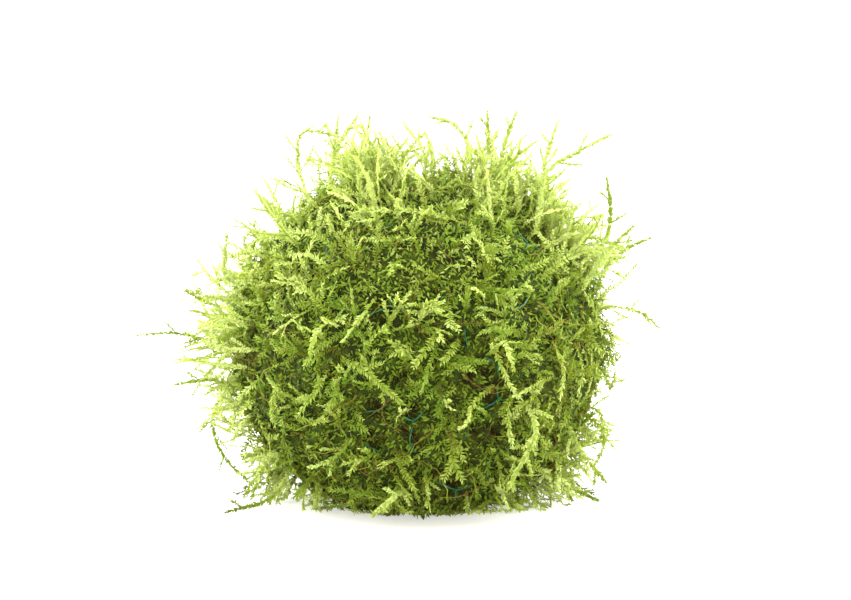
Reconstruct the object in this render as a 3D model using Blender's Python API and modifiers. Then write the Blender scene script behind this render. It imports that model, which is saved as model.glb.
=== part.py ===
"""A java moss ball: moss shoots packed into a ball and held by a soft net.

Units are metres and +Z is up. The origin is on the surface that the ball rests on, under the
ball's middle. The front faces -Y, with +X to its right.

The net's cells divide the ball. The moss is one solid: a lumpy ball creased under the strands of
the net, with a tapering lock or a long sprig that grows out through each cell.
"""

import math
import random

import bmesh
import bpy
from mathutils import Quaternion, Vector, noise

MM = 0.001

# The packed moss at the bottom of its creases
PACKED_RADIUS = 28.6 * MM
PACKED_RISE = 26.9 * MM
MIDDLE = Vector((0, 0, 27.0 * MM))
RIPPLE_HEIGHT = 0.55 * MM
RIPPLE_LENGTH = 15 * MM

# Its bulges and hollows: azimuth, elevation, height and spread in degrees
LUMPS = (
    (-75, 60, 2.0 * MM, 22),
    (95, 58, 1.6 * MM, 22),
    (0, 85, -1.2 * MM, 18),
    (-85, -8, 0.9 * MM, 30),
    (80, 4, 0.7 * MM, 30),
    (170, 20, 1.0 * MM, 35),
)

# The net, which the moss keeps clear of
NET_LIFT = 1.6 * MM
NET_HEIGHT = 0.95 * MM
STRAND = 0.42 * MM
CELL_DETAIL = 3
CELL_DRIFT = 0.07
CELL_DRIFT_LENGTH = 0.7
NET_ROOM = 0.75 * MM

# The flat underside. Pads of moss bulge down through the lowest cells and carry the ball, and the
# pads round them stop short of the surface. Cells are told apart by the heights of their middles.
CREASE_HEIGHT = 2.2 * MM
STANDING_CELL_HEIGHT = 1.1 * MM
PAD_CELL_HEIGHT = 3.4 * MM
PAD_SHARE = 0.94
SHORT_PAD_SHARE = 0.7
SHORT_PAD_HEIGHT = 0.35

# Locks: their lengths from the net, how far they lean from upright in degrees, and how they droop
LOCK_LENGTH = (4.0 * MM, 8.5 * MM)
LOCK_LEAN = (10, 60)
LOCK_DROOP = 0.5
LOCK_SHOULDER = (0.3, 0.8)
LOCK_BEND = (0.62, 0.42)
BENT_LOCK = 6.0 * MM
LOCK_SEED = 7

# Long sprigs: half their widths, and the lock that each grows from
SHOOT = 1.1 * MM
FINE = 0.75 * MM
SHOULDER_HEIGHT = 1.9 * MM
SHOULDER_SHARE = 0.62
TIP_SHARE = 0.5
NECK = 0.3 * MM
FLOOR_GAP = 0.3 * MM

# Long sprigs: the azimuth and elevation of the root, half the width, and the points in millimetres
# that the sprig passes once it has left its lock. The last point is its tip.
UPPER_LEFT = (
    (-60, 53, FINE, ((-19.6, -9.4, 55), (-21.4, -6, 62.6), (-19.6, -5, 65.4), (-12.6, -3, 63.6))),
    (-85, 66, SHOOT, ((-14.4, 0, 60), (-10.2, 0, 67.2))),
    (-110, 58, SHOOT, ((-14.6, 9, 59.6), (-13.8, 7, 66.2))),
    (-78, 47, SHOOT, ((-25.4, -5, 52.4), (-28.4, -4, 54.8))),
    (-72, 24, SHOOT, ((-32.6, -5, 39.8), (-32.4, -5, 47.2))),
)
TOP = (
    (20, 84, SHOOT, ((1.2, -5.6, 61), (-2.4, -3, 66.0))),
    (80, 76, FINE, ((8.6, 1, 61.4), (6.2, 1, 65.4), (2.1, 0, 66.8))),
    (110, 64, FINE, ((12.4, 7.4, 60.6), (12.0, 6, 67.0))),
)
UPPER_RIGHT = (
    (60, 44, SHOOT, ((21.4, -8.4, 54.6), (22.6, -6, 60.4), (24.4, -3, 66.2))),
    (90, 50, SHOOT, ((22.0, 0, 57.4), (27.6, 1, 60.8), (32.8, 2, 63.4))),
    (120, 54, FINE, ((21.0, 7.6, 56), (17.6, 6.6, 67.2))),
    (88, 30, FINE, ((32.0, 0, 45), (33.2, 0, 50), (32.4, 0, 56.2))),
    (70, 22, SHOOT, ((31.4, -7.4, 44.2), (36.4, -6.6, 49.0))),
    (95, 16, SHOOT, ((35.4, 3.6, 38.4), (39.8, 3, 46.4))),
)
RIGHT = (
    (75, 14, FINE, ((34.2, -8, 35.6), (38.6, -6.6, 34.6), (41.0, -5.6, 32.0))),
    (84, -10, SHOOT, ((33.4, -5, 17.4), (35.4, -5, 21.0))),
    (66, -14, FINE, ((31.4, -16, 18.6), (32.8, -15, 13.0), (30.6, -15, 9.4))),
)
LEFT = (
    (-86, 6, FINE, ((-36.0, -0.6, 28.4), (-41.6, -1.4, 29.6), (-48.0, -2, 29.4))),
    (-90, 15, SHOOT, ((-35.0, 4.6, 36.6), (-40.4, 3.6, 37.4))),
    (-70, -8, SHOOT, ((-34.0, -11, 24.6), (-37.6, -11.4, 25.6))),
    (-92, -14, FINE, ((-34.8, 4, 16.8), (-36.0, 3, 12.2), (-34.0, 2, 7.0), (-30.0, 1, 3.0))),
)
FRONT = (
    (-6, -38, SHOOT, ((-4.0, -29.0, 7.6), (-7.4, -27.0, 4.0))),
    (34, -8, SHOOT, ((19.0, -30.0, 18.4), (14.6, -31.6, 10.0))),
    (58, -20, SHOOT, ((27.6, -19.4, 12.4), (31.4, -18.0, 7.6))),
    (-30, 12, SHOOT, ((-16.0, -31.6, 36.0), (-17.0, -36.0, 33.0))),
    (22, 8, SHOOT, ((13.8, -32.4, 34.0), (15.2, -36.6, 30.4))),
    (-62, -38, SHOOT, ((-25.0, -11.6, 3.0), (-32.4, -13.0, 1.0))),
    (70, -42, SHOOT, ((25.6, -5.0, 3.4), (31.0, -5.4, 1.0))),
)
BACK = (
    (180, 34, SHOOT, ((1.0, 31.0, 46.0), (4.0, 33.5, 51.4))),
    (152, 10, SHOOT, ((16.6, 32.0, 36.0), (18.0, 37.0, 35.0))),
    (-150, 4, FINE, ((-21.0, 30.4, 27.6), (-21.6, 36.0, 31.0), (-19.6, 40.0, 29.6))),
    (-170, -38, SHOOT, ((-7.4, 25.8, 4.4), (-8.4, 31.0, 1.1))),
    (140, -38, SHOOT, ((20.0, 24.6, 7.0), (23.4, 27.0, 1.4))),
)

MOSS_COLOUR = (0.19, 0.27, 0.035, 1)
MOSS_ROUGHNESS = 0.7
NET_COLOUR = (0.045, 0.223, 0.141, 1)
NET_ROUGHNESS = 0.45


def clear_scene():
    for item in list(bpy.data.objects):
        bpy.data.objects.remove(item, do_unlink=True)


def add_object(name, shape, group, colour, roughness):
    """An object with its own plain material, from a shape that is finished."""
    paint = bpy.data.materials.new(name)
    paint.use_nodes = True
    shader = paint.node_tree.nodes["Principled BSDF"]
    shader.inputs["Base Color"].default_value = colour
    shader.inputs["Roughness"].default_value = roughness
    shader.inputs["Metallic"].default_value = 0
    mesh = bpy.data.meshes.new(name)
    shape.to_mesh(mesh)
    shape.free()
    mesh.materials.append(paint)
    item = bpy.data.objects.new(name, mesh)
    group.objects.link(item)
    return item


def towards(azimuth, elevation):
    """A direction from the middle. Azimuth 0 is the front and 90 the right."""
    turn = math.radians(azimuth)
    rise = math.radians(elevation)
    level = math.cos(rise)
    return Vector((math.sin(turn) * level, -math.cos(turn) * level, math.sin(rise)))


def packed_reach(direction):
    """How far the packed moss reaches from its middle in a direction."""
    level = direction.xy.length_squared / PACKED_RADIUS**2
    reach = (level + direction.z**2 / PACKED_RISE**2) ** -0.5
    for azimuth, elevation, height, spread in LUMPS:
        away = math.degrees(direction.angle(towards(azimuth, elevation)))
        reach += height * math.exp(-((away / spread) ** 2))
    return reach + RIPPLE_HEIGHT * noise.noise(direction * (reach / RIPPLE_LENGTH))


def point_above(direction, lift, lowest):
    """The point above the packed moss in a direction, kept at or over a height."""
    point = MIDDLE + direction * (packed_reach(direction) + lift)
    point.z = max(point.z, lowest)
    return point


def drifted(direction):
    """A direction moved sideways a little, so that no two of the net's cells are alike."""
    drift = noise.noise_vector(direction / CELL_DRIFT_LENGTH)
    return (direction + CELL_DRIFT * drift).normalized()


def faces_in_order(vertex):
    """The faces around a vertex, anticlockwise from outside."""
    loop = vertex.link_loops[0]
    ring = []
    for _ in vertex.link_faces:
        ring.append(loop.face)
        loop = loop.link_loop_prev.link_loop_radial_next
    return ring


class Cell:
    """One cell of the net: its knots, its middle and the way that it faces."""

    def __init__(self, vertex, knots):
        self.ring = [face.index for face in faces_in_order(vertex)]
        self.knots = [knots[index] for index in self.ring]
        self.centre = sum(self.knots, Vector()) / len(self.knots)
        self.direction = drifted(vertex.co.normalized())
        flattening = (PACKED_RADIUS / PACKED_RISE) ** 2
        self.up = Vector((*self.direction.xy, self.direction.z * flattening)).normalized()
        self.is_pad = self.centre.z < PAD_CELL_HEIGHT
        self.path = []

    def room(self):
        """How far the middle is from the nearest strand."""
        nearest = math.inf
        for start, end in zip(self.knots, self.knots[1:] + self.knots[:1]):
            along = end - start
            share = (self.centre - start).dot(along) / along.length_squared
            nearest = min(nearest, (start + along * share - self.centre).length)
        return nearest


def net_cells():
    """The places of the net's knots and the cells between them.

    A ball of triangles has a vertex for each cell and a face for each knot.
    """
    grid = bmesh.new()
    bmesh.ops.create_icosphere(grid, subdivisions=CELL_DETAIL, radius=1)
    ways = [drifted(face.calc_center_median().normalized()) for face in grid.faces]
    knots = [point_above(way, NET_LIFT, NET_HEIGHT) for way in ways]
    creases = [point_above(way, 0, CREASE_HEIGHT) for way in ways]
    cells = [Cell(vertex, knots) for vertex in grid.verts]
    grid.free()
    return knots, creases, cells


def cage_of(corners, cells):
    """A closed mesh with a face for each cell, and those faces in the cells' order."""
    cage = bmesh.new()
    corners = [cage.verts.new(corner) for corner in corners]
    faces = [cage.faces.new([corners[index] for index in cell.ring]) for cell in cells]
    return cage, faces


def make_net(group, knots, cells):
    """The net's strands, which the Wireframe modifier makes from the edges of its cells."""
    cage, _ = cage_of(knots, cells)
    net = add_object("net", cage, group, NET_COLOUR, NET_ROUGHNESS)
    strands = net.modifiers.new("Strands", "WIREFRAME")
    strands.thickness = STRAND
    strands.use_even_offset = False
    strands.use_replace = True


def lay_long_sprigs(cells):
    """Gives each long sprig the free cell nearest to its root."""
    for azimuth, elevation, width, passed in UPPER_LEFT + TOP + UPPER_RIGHT + RIGHT + LEFT + FRONT + BACK:
        root = towards(azimuth, elevation)
        free = [cell for cell in cells if not cell.path and not cell.is_pad]
        cell = max(free, key=lambda one: one.direction.dot(root))
        points = [Vector(point) * MM for point in passed]
        shoulder = cell.centre + cell.up * SHOULDER_HEIGHT
        cell.path = [(shoulder, cell.room() * SHOULDER_SHARE)]
        for step, point in enumerate(points[:-1]):
            cell.path.append((point, width * (1 - (1 - TIP_SHARE) * step / len(points))))
        cell.path.append((points[-1], 0))


def lay_locks(cells):
    """Gives a lock to each cell that is left. Locks lean all ways and droop a little."""
    rng = random.Random(LOCK_SEED)
    for cell in cells:
        length = rng.uniform(*LOCK_LENGTH)
        lean = math.radians(rng.uniform(*LOCK_LEAN))
        side = Vector((rng.gauss(0, 1), rng.gauss(0, 1), rng.gauss(0, 1) - LOCK_DROOP))
        if cell.path or cell.is_pad:
            continue
        side = (side - cell.up * side.dot(cell.up)).normalized()
        tip = (cell.up * math.cos(lean) + side * math.sin(lean)) * length
        shares = [LOCK_SHOULDER, LOCK_BEND] if length > BENT_LOCK else [LOCK_SHOULDER]
        for share, width in shares:
            upright = cell.up * length * share
            point = cell.centre + upright.lerp(tip * share, share)
            cell.path.append((point, cell.room() * width))
        cell.path.append((cell.centre + tip, 0))


def above_floor(point, width):
    return Vector((point.x, point.y, max(point.z, width + FLOOR_GAP)))


def extruded(shape, face, corners):
    """A face extruded to new corners."""
    grown = bmesh.ops.extrude_discrete_faces(shape, faces=[face])["faces"][0]
    for vertex, corner in zip(grown.verts, corners):
        vertex.co = corner
    return grown


def grow(shape, face, cell):
    """Extrudes a cell's face past the net and on through the cell's path, down to a point."""
    room = cell.room()
    outline = [(knot - cell.centre) * (1 - NET_ROOM / room) for knot in cell.knots]
    neck = cell.centre + cell.up * NECK
    face = extruded(shape, face, [neck + edge for edge in outline])
    path = [(neck, room)] + [(above_floor(point, width), width) for point, width in cell.path]
    turn = Quaternion()
    heading = cell.up
    for (before, _), (point, width), (after, _) in zip(path, path[1:], path[2:]):
        along = (after - before).normalized()
        turn = heading.rotation_difference(along) @ turn
        heading = along
        face = extruded(shape, face, [point + turn @ edge * (width / room) for edge in outline])
    tip = bmesh.ops.poke(shape, faces=[face])["verts"][0]
    tip.co = path[-1][0]


def grow_pad(shape, face, cell):
    """Extrudes one of the lowest cells' faces past the net, down to a flat foot."""
    room = cell.room()
    outline = [(knot - cell.centre) * (1 - NET_ROOM / room) for knot in cell.knots]
    neck = cell.centre + cell.up * NECK
    stands = cell.centre.z < STANDING_CELL_HEIGHT
    share = PAD_SHARE if stands else SHORT_PAD_SHARE
    height = 0 if stands else cell.centre.z * SHORT_PAD_HEIGHT
    foot = Vector((*cell.centre.xy, height))
    face = extruded(shape, face, [neck + edge for edge in outline])
    extruded(shape, face, [foot + Vector((*edge.xy, 0)) * share for edge in outline])


def make_moss(group, creases, cells):
    shape, faces = cage_of(creases, cells)
    for face, cell in zip(faces, cells):
        if cell.is_pad:
            grow_pad(shape, face, cell)
        else:
            grow(shape, face, cell)
    add_object("moss", shape, group, MOSS_COLOUR, MOSS_ROUGHNESS)


def main():
    clear_scene()
    parts = bpy.data.collections.new("Java moss ball")
    bpy.context.scene.collection.children.link(parts)
    knots, creases, cells = net_cells()
    lay_long_sprigs(cells)
    lay_locks(cells)
    make_net(parts, knots, cells)
    make_moss(parts, creases, cells)


if __name__ == "__main__":
    main()
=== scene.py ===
"""The looks of a java moss ball, laid out as a Blender add-on.

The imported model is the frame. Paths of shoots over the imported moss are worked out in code, and
Geometry Nodes grow a stem and two rows of leaves along each path. Lengths are in metres, +Z is
up, and the front faces -Y with +X to its right.
"""

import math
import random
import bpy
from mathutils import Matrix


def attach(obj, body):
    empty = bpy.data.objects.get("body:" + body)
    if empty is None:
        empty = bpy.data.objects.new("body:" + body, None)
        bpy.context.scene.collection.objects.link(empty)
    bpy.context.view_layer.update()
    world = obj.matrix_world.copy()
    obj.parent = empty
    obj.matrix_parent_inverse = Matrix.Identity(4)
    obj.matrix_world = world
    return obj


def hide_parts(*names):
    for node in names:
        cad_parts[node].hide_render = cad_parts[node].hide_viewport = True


bl_info = {
    "name": "Java moss ball",
    "version": (1, 0, 0),
    "blender": (4, 5, 0),
    "location": "3D View > Sidebar > Moss ball",
    "description": "Grows the leafy shoots, old stems and soft net of a java moss ball",
    "category": "Add Mesh",
}

from collections import namedtuple

import bmesh
import bpy
from bpy.props import FloatProperty, FloatVectorProperty, PointerProperty
from mathutils import Quaternion, Vector, noise

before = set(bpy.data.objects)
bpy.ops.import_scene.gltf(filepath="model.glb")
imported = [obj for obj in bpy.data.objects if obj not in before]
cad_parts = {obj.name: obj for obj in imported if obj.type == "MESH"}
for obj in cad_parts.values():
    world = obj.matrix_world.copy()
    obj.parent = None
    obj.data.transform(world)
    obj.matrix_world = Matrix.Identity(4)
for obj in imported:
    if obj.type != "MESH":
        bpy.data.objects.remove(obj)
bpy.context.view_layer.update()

MM = 0.001

# The photograph's frame and scale. The ball's axis and the surface under it lie at these pixels.
PHOTO_WIDTH = 851
PHOTO_HEIGHT = 600
PIXELS_PER_METRE = 5800
AXIS_PIXEL = 418
GROUND_PIXEL = 501
VIEW_RISE = math.radians(10)
VIEW_DISTANCE = 0.42
VIEW_START = 0.01
VIEW_REACH = 1.6
VIEW_HALVINGS = 24
SENSOR_MM = 36

# The stage: its floor, the white room round it, and each lamp's place, size and power
FLOOR_RADIUS = 6
FLOOR_SIDES = 96
FLOOR_DROP = 0.02 * MM
FLOOR_COLOUR = (0.50, 0.50, 0.48, 1)
FLOOR_GLOW = (1, 0.985, 0.88, 1)
FLOOR_GLOW_STRENGTH = 0.56
ROOM_STRENGTH = 1.95
LAMPS = {
    "top_light": ((-0.08, 0.10, 0.64), 0.5, 14),
    "left_light": ((-0.62, 0.12, 0.22), 0.4, 16),
    "right_light": ((0.62, 0.12, 0.20), 0.4, 16),
    "front_light": ((0.05, -0.72, 0.10), 0.5, 4),
}

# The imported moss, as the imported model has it
PACKED_RADIUS = 28.6 * MM
PACKED_RISE = 26.9 * MM
MIDDLE = Vector((0, 0, 27.0 * MM))
RIPPLE_HEIGHT = 0.55 * MM
RIPPLE_LENGTH = 15 * MM
LUMPS = (
    (-75, 60, 2.0 * MM, 22),
    (95, 58, 1.6 * MM, 22),
    (0, 85, -1.2 * MM, 18),
    (-85, -8, 0.9 * MM, 30),
    (80, 4, 0.7 * MM, 30),
    (170, 20, 1.0 * MM, 35),
)

# The net: its cells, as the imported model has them, and its strands, which are slack and wavy. The
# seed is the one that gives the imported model's cells, and without one the noise changes each run.
NET_LIFT = 1.6 * MM
NET_HEIGHT = 0.95 * MM
CELL_DETAIL = 3
CELL_DRIFT = 0.07
CELL_DRIFT_LENGTH = 0.7
DRIFT_SEED = 1795627345
STRAND_PARTS = 4
STRAND_RINGS = 7
STRAND_SIDES = 6
STRAND_SLACK = 0.9 * MM
STRAND_WAVE = 3.2 * MM
KNOT_GIRTH = 0.2
KNOT_POWER = 3

# The bed: a mat of moss that sinks to old, brown moss in the gaps
BED_DETAIL = 6
BED_HEIGHT = 0.5 * MM
BED_DEPTH = 0.6 * MM
BED_LUMP = 0.7 * MM
BED_LUMP_LENGTH = 2.2 * MM
BED_LUMP_FRACTAL = (0.9, 2.2, 3)

# The leaves of the mat: how far it lies over the imported moss, how many leaves it has and how close
# they stand outside the gaps, how they tilt, and how their ripeness and tone come about. Riper on top
# is partly painted light, and older and darker in the gaps is partly painted shade.
MAT_RISE = 1.9 * MM
MAT_LEAVES = 21000
MAT_COVER = 1.28
MAT_TILT = 0.7
MAT_TOP_FRESHNESS_AND_PAINTED_LIGHT = 0.3
MAT_GAP_AGE_AND_PAINTED_SHADE = -0.3
MAT_PATCH_RIPENESS = 0.64
MAT_PATCH_TONE = 0.7
MAT_PATCH_LENGTH = 5.0 * MM
RIPENESS_PATCHES = 0.0
TONE_PATCHES = 5.0

# Shoots: the length of a step along a path, and how near they come to the bed and the floor
STEP = 1.35 * MM
LEAST_STEPS = 3
LEAST_LEAF = 0.08
BED_CLEARANCE = 0.35 * MM
FLOOR_CLEARANCE = 0.55 * MM
UNDERSIDE_REACH = 12.0 * MM
UNDERSIDE_SLOPE = 0.28
UNDERSIDE_WIDTH = 0.42
SOFT_FLOOR = 0.3 * MM
STEM_SIDES = 3

# How a shoot changes from its root to its tip. Its leaves grow larger up to the end of the root
# part and smaller from the start of the tip part, and its stem grows thinner all the way.
ROOT_LEAF = 0.6
ROOT_END = 0.2
TIP_START = 0.82
TIP_LEAF_LOSS = 0.24
STEM_LOSS = 0.4
RIPE_POWER = 1.3
SPREAD_POWER = 1.5

# How each kind of shoot looks: how large and how broad its leaves are, how ripe it is at its root
# and tip, its tone, how thick its stem is, and the angle of its leaves at its root and tip
Kind = namedtuple("Kind", "width broad ripe tone stem spread")
KINDS = {
    "leafy": Kind(0.95, 1.05, (0.41, 0.54), 0.43, 1.0, (56, 30)),
    "comb": Kind(1.05, 1.0, (0.43, 0.56), 0.48, 1.0, (62, 44)),
    "fine": Kind(0.78, 1.5, (0.49, 0.63), 0.5, 1.1, (38, 22)),
    "slender": Kind(0.86, 1.5, (0.66, 0.66), 0.46, 1.4, (43, 25)),
    "pale": Kind(0.85, 1.15, (0.33, 0.78), 0.66, 1.4, (46, 24)),
    "thread": Kind(0, 1.0, (0.3, 0.62), 0.5, 1.0, (50, 30)),
    "old": Kind(0.7, 1.0, (0.16, 0.4), 0.5, 1.2, (56, 36)),
}

# How much riper moss is than its shoot says. On top this is partly fresher growth and partly painted
# light, underneath it is painted light, and where it stands clear of the ball it is a painted glow that
# fades where it lies low. Where it strays far out it is darker, as painted shade.
TOP_FRESHNESS_AND_PAINTED_LIGHT = 0.2
UNDER_PAINTED_LIGHT = 0.08
CLEAR_PAINTED_GLOW = 0.25
STRAY_PAINTED_SHADE = -0.32
ALL_RIPENESS = -0.05
CLEAR_REACH = (30.5 * MM, 33.5 * MM)
STRAY_REACH = (34.5 * MM, 41.5 * MM)
LOW_HEIGHT = 9 * MM

# Side branches: where on a shoot they grow, from one to the next, their angle, their share of the
# length that is left, their lift and curl, and how their leaves differ from the shoot's
BRANCH_START = 0.2
BRANCH_END = 0.86
BRANCH_SPACING = (1.6 * MM, 3.0 * MM)
BRANCH_ANGLE = (38, 62)
BRANCH_SHARE = (0.22, 0.42)
BRANCH_LIFT = (-0.25, 0.3)
BRANCH_CURL = 0.12
BRANCH_SCALE = 0.86
BRANCH_RIPENESS = 0.12
LEAST_BRANCH = 1.8 * MM
LEAST_BRANCH_STEPS = 2

# Old shoots, which lie flat under the fresh ones
OLD_COUNT = 90
OLD_JITTER = 0.6
OLD_ROOT = (0.1 * MM, 0.9 * MM)
OLD_LENGTH = (5.0 * MM, 10.0 * MM)
OLD_LEAN = (66, 90)
OLD_BEND = 0.1
OLD_SWERVE = 0.9
OLD_TILT = 0.5
OLD_SCALE = (0.8, 1.1)
OLD_RIPE = 0.08
OLD_TONE = 0.16
OLD_SEED = 11

# Bare stems, tangled among the fronds
STEM_COUNT = 300
STEM_JITTER = 0.8
STEM_ROOT = (1.0 * MM, 2.4 * MM)
STEM_LENGTH = (6.0 * MM, 13.0 * MM)
STEM_LEAN = (60, 88)
STEM_BEND = (-20, 50)
STEM_SWERVE = 1.4
STEM_KINK = 0.25 * MM
STEM_RIPE = (-0.05, 0.12)
STEM_TONE = 0.3
STEM_SEED = 83

# Fresh fronds: a leafy axis with side branches. Three ways to lie have a share of them, a lean in
# degrees and a share of the length each, and four kinds of shoot a share each. Some of those that
# nothing shows, right underneath, are left out.
FROND_COUNT = 1430
FROND_JITTER = 0.45
FROND_ROOT = (0, 1.4 * MM)
FROND_LENGTH = (5.5 * MM, 12.5 * MM)
FROND_LEANS = ((0.60, (56, 82), 1.0), (0.30, (34, 58), 0.78), (0.10, (12, 34), 0.6))
FROND_KINDS = {"leafy": 0.58, "comb": 0.22, "fine": 0.15, "pale": 0.05}
FROND_BEND = (5, 42)
FROND_SWERVE = 0.6
FROND_FLOW = 0.9
FROND_TILT = 0.55
FROND_SCALE = (0.85, 1.12)
FROND_SEED = 5
BRANCHED_SHARE = 0.6
HIDDEN_HEIGHT = -0.75
HIDDEN_SHARE = 0.45
FLOW_RISE = 0.7
FLOW_SINK = 0.25

# Their ripeness and tone: by chance, and in patches
RIPE_CHANCE = 0.06
RIPE_PATCH = 0.14
RIPE_PATCH_LENGTH = 6 * MM
RIPE_PATCH_SHIFT = Vector((7, 0, 0))
TONE_CHANCE = 0.1
TONE_PATCH = 0.34
TONE_PATCH_LENGTH = 9 * MM

# The dip in the top, where the fresh fronds stay short: azimuth, elevation and spread in degrees,
# and the share of their length
DIP = (150, 79)
DIP_SPREAD = 13
DIP_LENGTH = 0.4

# Tufts of shoots that stand clear of the rest and glow round the rim: the azimuth, elevation and
# spread in degrees, the number of shoots, their shortest and longest lengths in millimetres, and
# which way they are drawn besides straight out
TUFTS = (
    (-48, 68, 15, 36, (7.5, 14.5), (0.05, 0, 0.9)),
    (-104, 68, 16, 26, (7.0, 13.5), (0.1, 0.1, 0.8)),
    (-146, 66, 20, 18, (6.0, 11.0), (0, 0.1, 0.6)),
    (-50, 78, 8, 18, (8.0, 12.5), (-0.35, 0, 0.8)),
    (-10, 56, 18, 12, (4.0, 7.5), (0, -0.1, 0.3)),
    (44, 62, 14, 10, (4.0, 7.5), (0.3, -0.1, 0.6)),
    (72, 68, 12, 26, (6.5, 12.5), (0.1, 0, 0.8)),
    (112, 64, 18, 22, (6.0, 11.5), (0.1, 0.1, 0.6)),
    (150, 60, 18, 14, (4.0, 7.5), (0.2, 0.1, 0.4)),
    (76, 60, 8, 12, (7.0, 11.0), (0.25, 0, 0.7)),
    (80, 42, 10, 16, (5.0, 9.0), (0.1, 0, 0.7)),
    (80, 50, 13, 22, (5.5, 11.0), (0.25, 0, 0.5)),
    (108, 46, 15, 18, (5.0, 10.5), (0.3, 0.1, 0.4)),
    (84, 33, 12, 30, (6.5, 13.5), (0.4, 0, 0.25)),
    (112, 26, 18, 20, (5.5, 11.0), (0.3, 0.1, 0.1)),
    (80, 8, 18, 8, (4.0, 7.0), (0.2, 0, 0.2)),
    (80, -34, 11, 26, (5.5, 10.0), (0.4, 0, 0)),
    (72, -46, 13, 34, (6.0, 12.0), (0.4, 0, -0.3)),
    (44, -50, 12, 16, (5.0, 8.0), (0.15, -0.1, -0.3)),
    (-80, 26, 15, 18, (5.0, 10.0), (-0.5, 0, 0.1)),
    (-110, 24, 18, 16, (5.0, 9.5), (-0.4, 0.1, 0.1)),
    (-74, 7, 14, 32, (7.0, 14.5), (-0.7, 0, 0)),
    (-102, 5, 17, 24, (6.5, 13.0), (-0.7, 0.1, 0)),
    (-78, -18, 16, 22, (5.5, 11.0), (-0.5, 0, -0.1)),
    (-82, -42, 12, 34, (6.0, 11.5), (-0.7, 0, -0.2)),
    (-60, -50, 9, 10, (4.5, 7.0), (0.1, -0.1, -0.4)),
    (-50, 44, 18, 12, (4.0, 7.0), (0, 0, 0.6)),
    (180, 36, 30, 20, (5.5, 10.0), (0, 0.2, 0.4)),
    (180, -4, 32, 20, (5.0, 9.0), (0, 0.2, 0)),
    (-140, 6, 28, 22, (5.5, 10.0), (-0.1, 0.2, 0)),
    (142, 8, 28, 22, (5.5, 10.0), (0.1, 0.2, 0)),
    (0, 20, 32, 18, (4.0, 7.5), (0, -0.1, 0.3)),
)

# How the shoots of a tuft grow
TUFT_KINDS = {"slender": 0.6, "fine": 0.2, "leafy": 0.2}
TUFT_SCATTER = 0.75
TUFT_ROOT = 1.0 * MM
TUFT_OPENING = 0.72
TUFT_BEND = 1.15
TUFT_DROOP = Vector((0, 0, -0.1))
TUFT_LENGTH_POWER = 1.2
TUFT_TILT = 0.9
# Tufts are painted riper than fronds, partly as fresh growth and partly as a painted glow round the rim
TUFT_RIPENESS_AND_PAINTED_GLOW = (0.3, 0.05)
TUFT_TONE = (0.24, 0.12)
TUFT_SCALE = (0.85, 1.1)
TUFT_BRANCHED_SHARE = 0.5
TUFT_BRANCH_SHARE = (0.18, 0.34)
TUFT_SEED = 23

# Gaps in the fresh shoots at the front: x and height in the photograph's plane, and radius, in mm
FRONT_GAPS = (
    (-5.9, 32.9, 2.2),
    (3.8, 35.5, 1.7),
    (18.4, 45.3, 2.2),
    (17.9, 32.9, 1.8),
    (10.3, 22.4, 2.4),
    (11.7, 18.8, 1.6),
    (13.8, 13.4, 1.8),
    (9.8, 13.1, 1.6),
    (-7.1, 12.0, 1.9),
    (-1.6, 12.2, 2.0),
    (-6.9, 16.9, 1.7),
    (-0.5, 16.5, 1.4),
    (5.5, 3.2, 3.0),
    (-2.4, 22.0, 1.2),
    (6.4, 28.0, 1.3),
)

# Gaps in the fresh shoots elsewhere, and how all of them are kept open and made ragged
OTHER_GAPS = 54
OTHER_GAP_JITTER = 0.5
OTHER_GAP_RADIUS = (1.0 * MM, 2.1 * MM)
OTHER_GAP_FRONT = -0.45
GAP_MARGIN = 0.3 * MM
GAP_TRIES = 6
GAP_SEED = 31
GAP_LEAK = 0.12
GAP_EDGE = (0.6, 1.4)
GAP_RAG = (-0.32, -0.02)
GAP_RAG_LENGTH = 1.7 * MM

# Which piece a frond belongs to, by the way its root faces
REGIONS = {
    "moss_front": (0, -1, 0),
    "moss_back": (0, 1, 0),
    "moss_left": (-1, 0, 0),
    "moss_right": (1, 0, 0),
    "moss_top": (0, 0, 1),
    "moss_under": (0, 0, -1),
}

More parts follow.
